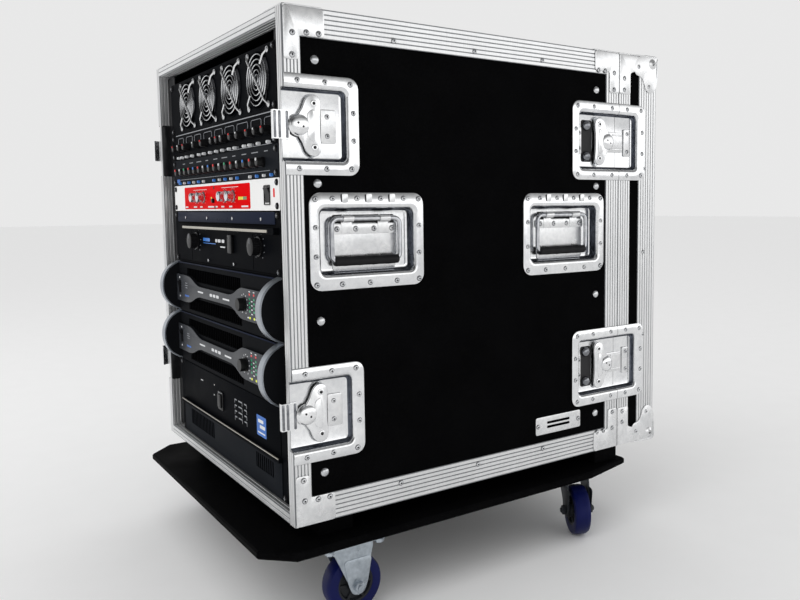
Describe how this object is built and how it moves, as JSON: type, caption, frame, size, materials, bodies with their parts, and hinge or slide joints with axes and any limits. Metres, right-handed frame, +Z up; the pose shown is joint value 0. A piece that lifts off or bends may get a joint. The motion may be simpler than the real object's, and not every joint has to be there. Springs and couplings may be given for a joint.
{
  "type": "wheeled rack flight case with effects and amplifier units",
  "caption": "Black laminated flight-case rack with aluminium edges on a wheeled dolly, loaded with fan panel, effects units and power amplifiers; rear lid fitted.",
  "frame": {"origin": "centre of the bounding box on the floor", "axes": "-Y is the open front with the rack units, +Y the rear lid, +X the right side seen from the front, +Z up"},
  "size_m": [0.6, 0.73, 0.82],
  "materials": {
    "black_laminate": "low-sheen laminated plywood",
    "edge_aluminium": "ribbed anodised extrusion",
    "rail_black": "black powder coat",
    "plated_steel": "bright plated pressed steel",
    "grip_rubber": "moulded black grip",
    "dolly_black": "black painted plywood, satin",
    "zinc_steel": "bright zinc plate",
    "tyre_blue": "dark blue elastic tyre",
    "unit_black": "black textured paint",
    "unit_grey": "dark grey paint",
    "unit_white": "white paint with a red field",
    "fan_black": "moulded black",
    "knob_chrome": "turned bright metal",
    "switch_black": "moulded black"
  },
  "bodies": {
    "case": {"right_side_panel": "black_laminate", "left_side_panel": "black_laminate", "top_panel": "black_laminate", "bottom_panel": "black_laminate", "front_edge_frame": "edge_aluminium", "body_edge_angles": "edge_aluminium", "rack_rail_right": "rail_black", "rack_rail_left": "rail_black", "handle_dish_right_front": "plated_steel", "handle_dish_right_rear": "plated_steel", "handle_dish_left_front": "plated_steel", "handle_dish_left_rear": "plated_steel", "dolly_board": "dolly_black", "dolly_riser": "dolly_black", "caster_fork_right_front": "zinc_steel", "caster_fork_left_front": "zinc_steel", "fan_panel": "unit_black", "patch_unit": "unit_black", "line_mixer": "unit_grey", "channel_strip": "unit_white", "stereo_amp": "unit_black", "power_amp_upper": "unit_grey", "power_amp_lower": "unit_grey", "base_amp": "unit_grey"},
    "rear_lid": {"lid_seam_frame": "edge_aluminium", "lid_tray": "black_laminate", "lid_rear_angles": "edge_aluminium"},
    "handle_right_front": {"handle_bail_right_front": "grip_rubber"},
    "handle_right_rear": {"handle_bail_right_rear": "grip_rubber"},
    "wing_right_front_top": {"latch_wing_right_front_top": "plated_steel"},
    "hook_right_front_top": {"latch_hook_right_front_top": "plated_steel"},
    "wing_right_rear_top": {"latch_wing_right_rear_top": "plated_steel"},
    "wing_right_front_bottom": {"latch_wing_right_front_bottom": "plated_steel"},
    "hook_right_front_bottom": {"latch_hook_right_front_bottom": "plated_steel"},
    "wing_right_rear_bottom": {"latch_wing_right_rear_bottom": "plated_steel"},
    "handle_left_front": {"handle_bail_left_front": "grip_rubber"},
    "handle_left_rear": {"handle_bail_left_rear": "grip_rubber"},
    "wing_left_front_top": {"latch_wing_left_front_top": "plated_steel"},
    "hook_left_front_top": {"latch_hook_left_front_top": "plated_steel"},
    "wing_left_rear_top": {"latch_wing_left_rear_top": "plated_steel"},
    "wing_left_front_bottom": {"latch_wing_left_front_bottom": "plated_steel"},
    "hook_left_front_bottom": {"latch_hook_left_front_bottom": "plated_steel"},
    "wing_left_rear_bottom": {"latch_wing_left_rear_bottom": "plated_steel"},
    "wheel_right_front": {"caster_wheel_right_front": "tyre_blue"},
    "swivel_right": {"caster_fork_right_rear": "zinc_steel"},
    "wheel_right_rear": {"caster_wheel_right_rear": "tyre_blue"},
    "wheel_left_front": {"caster_wheel_left_front": "tyre_blue"},
    "swivel_left": {"caster_fork_left_rear": "zinc_steel"},
    "wheel_left_rear": {"caster_wheel_left_rear": "tyre_blue"},
    "fan_1": {"fan_rotor_1": "fan_black"},
    "fan_2": {"fan_rotor_2": "fan_black"},
    "fan_3": {"fan_rotor_3": "fan_black"},
    "fan_4": {"fan_rotor_4": "fan_black"},
    "knob_1": {"channel_knob_1": "knob_chrome"},
    "knob_2": {"channel_knob_2": "knob_chrome"},
    "knob_3": {"channel_knob_3": "knob_chrome"},
    "knob_4": {"channel_knob_4": "knob_chrome"},
    "channel_switch": {"channel_rocker": "switch_black"},
    "power_switch_upper": {"power_amp_upper_rocker": "switch_black"},
    "power_switch_lower": {"power_amp_lower_rocker": "switch_black"}
  },
  "joints": [
    {"name": "lid_lift_off", "type": "slide", "parent": "case", "child": "rear_lid", "axis": [0, 1, 0], "range_m": [0, 0.25]},
    {"name": "handle_right_front_lift", "type": "hinge", "parent": "case", "child": "handle_right_front", "pos_m": [0.2816, -0.205, 0.553], "axis": [0, -1, 0], "range_deg": [0, 90], "stiffness_Nm_per_rad": 0.15},
    {"name": "handle_right_rear_lift", "type": "hinge", "parent": "case", "child": "handle_right_rear", "pos_m": [0.2816, 0.1525, 0.553], "axis": [0, -1, 0], "range_deg": [0, 90], "stiffness_Nm_per_rad": 0.15},
    {"name": "wing_right_front_top_turn", "type": "hinge", "parent": "case", "child": "wing_right_front_top", "pos_m": [0.284, -0.3, 0.673], "axis": [1, 0, 0], "range_deg": [0, 180]},
    {"name": "hook_right_front_top_slide", "type": "slide", "parent": "case", "child": "hook_right_front_top", "axis": [0, -1, 0], "range_m": [0, 0.0065]},
    {"name": "wing_right_rear_top_turn", "type": "hinge", "parent": "case", "child": "wing_right_rear_top", "pos_m": [0.284, 0.251, 0.673], "axis": [-1, 0, 0], "range_deg": [0, 180]},
    {"name": "wing_right_front_bottom_turn", "type": "hinge", "parent": "case", "child": "wing_right_front_bottom", "pos_m": [0.284, -0.3, 0.297], "axis": [1, 0, 0], "range_deg": [0, 180]},
    {"name": "hook_right_front_bottom_slide", "type": "slide", "parent": "case", "child": "hook_right_front_bottom", "axis": [0, -1, 0], "range_m": [0, 0.0065]},
    {"name": "wing_right_rear_bottom_turn", "type": "hinge", "parent": "case", "child": "wing_right_rear_bottom", "pos_m": [0.284, 0.251, 0.297], "axis": [-1, 0, 0], "range_deg": [0, 180]},
    {"name": "handle_left_front_lift", "type": "hinge", "parent": "case", "child": "handle_left_front", "pos_m": [-0.2816, -0.205, 0.553], "axis": [0, 1, 0], "range_deg": [0, 90], "stiffness_Nm_per_rad": 0.15},
    {"name": "handle_left_rear_lift", "type": "hinge", "parent": "case", "child": "handle_left_rear", "pos_m": [-0.2816, 0.1525, 0.553], "axis": [0, 1, 0], "range_deg": [0, 90], "stiffness_Nm_per_rad": 0.15},
    {"name": "wing_left_front_top_turn", "type": "hinge", "parent": "case", "child": "wing_left_front_top", "pos_m": [-0.284, -0.3, 0.673], "axis": [1, 0, 0], "range_deg": [0, 180]},
    {"name": "hook_left_front_top_slide", "type": "slide", "parent": "case", "child": "hook_left_front_top", "axis": [0, -1, 0], "range_m": [0, 0.0065]},
    {"name": "wing_left_rear_top_turn", "type": "hinge", "parent": "case", "child": "wing_left_rear_top", "pos_m": [-0.284, 0.251, 0.673], "axis": [-1, 0, 0], "range_deg": [0, 180]},
    {"name": "wing_left_front_bottom_turn", "type": "hinge", "parent": "case", "child": "wing_left_front_bottom", "pos_m": [-0.284, -0.3, 0.297], "axis": [1, 0, 0], "range_deg": [0, 180]},
    {"name": "hook_left_front_bottom_slide", "type": "slide", "parent": "case", "child": "hook_left_front_bottom", "axis": [0, -1, 0], "range_m": [0, 0.0065]},
    {"name": "wing_left_rear_bottom_turn", "type": "hinge", "parent": "case", "child": "wing_left_rear_bottom", "pos_m": [-0.284, 0.251, 0.297], "axis": [-1, 0, 0], "range_deg": [0, 180]},
    {"name": "wheel_right_front_roll", "type": "hinge", "parent": "case", "child": "wheel_right_front", "pos_m": [0.262, -0.229, 0.042], "axis": [1, 0, 0], "continuous": true},
    {"name": "swivel_right_turn", "type": "hinge", "parent": "case", "child": "swivel_right", "pos_m": [0.233, 0.222, 0.1], "axis": [0, 0, 1], "continuous": true},
    {"name": "wheel_right_rear_roll", "type": "hinge", "parent": "swivel_right", "child": "wheel_right_rear", "pos_m": [0.25817, 0.20973, 0.042], "axis": [0.4384, 0.8988, 0], "continuous": true},
    {"name": "wheel_left_front_roll", "type": "hinge", "parent": "case", "child": "wheel_left_front", "pos_m": [-0.262, -0.229, 0.042], "axis": [1, 0, 0], "continuous": true},
    {"name": "swivel_left_turn", "type": "hinge", "parent": "case", "child": "swivel_left", "pos_m": [-0.233, 0.222, 0.1], "axis": [0, 0, 1], "continuous": true},
    {"name": "wheel_left_rear_roll", "type": "hinge", "parent": "swivel_left", "child": "wheel_left_rear", "pos_m": [-0.24483, 0.24738, 0.042], "axis": [-0.9063, -0.4226, 0], "continuous": true},
    {"name": "fan_1_spin", "type": "hinge", "parent": "case", "child": "fan_1", "pos_m": [-0.142, -0.298, 0.74185], "axis": [0, 1, 0], "continuous": true},
    {"name": "fan_2_spin", "type": "hinge", "parent": "case", "child": "fan_2", "pos_m": [-0.035, -0.298, 0.74185], "axis": [0, 1, 0], "continuous": true},
    {"name": "fan_3_spin", "type": "hinge", "parent": "case", "child": "fan_3", "pos_m": [0.072, -0.298, 0.74185], "axis": [0, 1, 0], "continuous": true},
    {"name": "fan_4_spin", "type": "hinge", "parent": "case", "child": "fan_4", "pos_m": [0.179, -0.298, 0.74185], "axis": [0, 1, 0], "continuous": true},
    {"name": "knob_1_turn", "type": "hinge", "parent": "case", "child": "knob_1", "pos_m": [-0.113, -0.32, 0.58627], "axis": [0, 1, 0], "range_deg": [-150, 150]},
    {"name": "knob_2_turn", "type": "hinge", "parent": "case", "child": "knob_2", "pos_m": [-0.078, -0.32, 0.58627], "axis": [0, 1, 0], "range_deg": [-150, 150]},
    {"name": "knob_3_turn", "type": "hinge", "parent": "case", "child": "knob_3", "pos_m": [0.027, -0.32, 0.58627], "axis": [0, 1, 0], "range_deg": [-150, 150]},
    {"name": "knob_4_turn", "type": "hinge", "parent": "case", "child": "knob_4", "pos_m": [0.063, -0.32, 0.58627], "axis": [0, 1, 0], "range_deg": [-150, 150]},
    {"name": "channel_switch_tip", "type": "hinge", "parent": "case", "child": "channel_switch", "pos_m": [0.198, -0.308, 0.58627], "axis": [-1, 0, 0], "range_deg": [0, 18]},
    {"name": "power_switch_upper_tip", "type": "hinge", "parent": "case", "child": "power_switch_upper", "pos_m": [-0.205, -0.315, 0.4307], "axis": [-1, 0, 0], "range_deg": [0, 18]},
    {"name": "power_switch_lower_tip", "type": "hinge", "parent": "case", "child": "power_switch_lower", "pos_m": [-0.205, -0.315, 0.3418], "axis": [-1, 0, 0], "range_deg": [0, 18]}
  ],
  "couplings": [
    {"joint": "hook_right_front_top_slide", "follows": "wing_right_front_top_turn", "m_per_rad": 0.0019},
    {"joint": "hook_right_front_bottom_slide", "follows": "wing_right_front_bottom_turn", "m_per_rad": 0.0019},
    {"joint": "hook_left_front_top_slide", "follows": "wing_left_front_top_turn", "m_per_rad": 0.0019},
    {"joint": "hook_left_front_bottom_slide", "follows": "wing_left_front_bottom_turn", "m_per_rad": 0.0019}
  ]
}
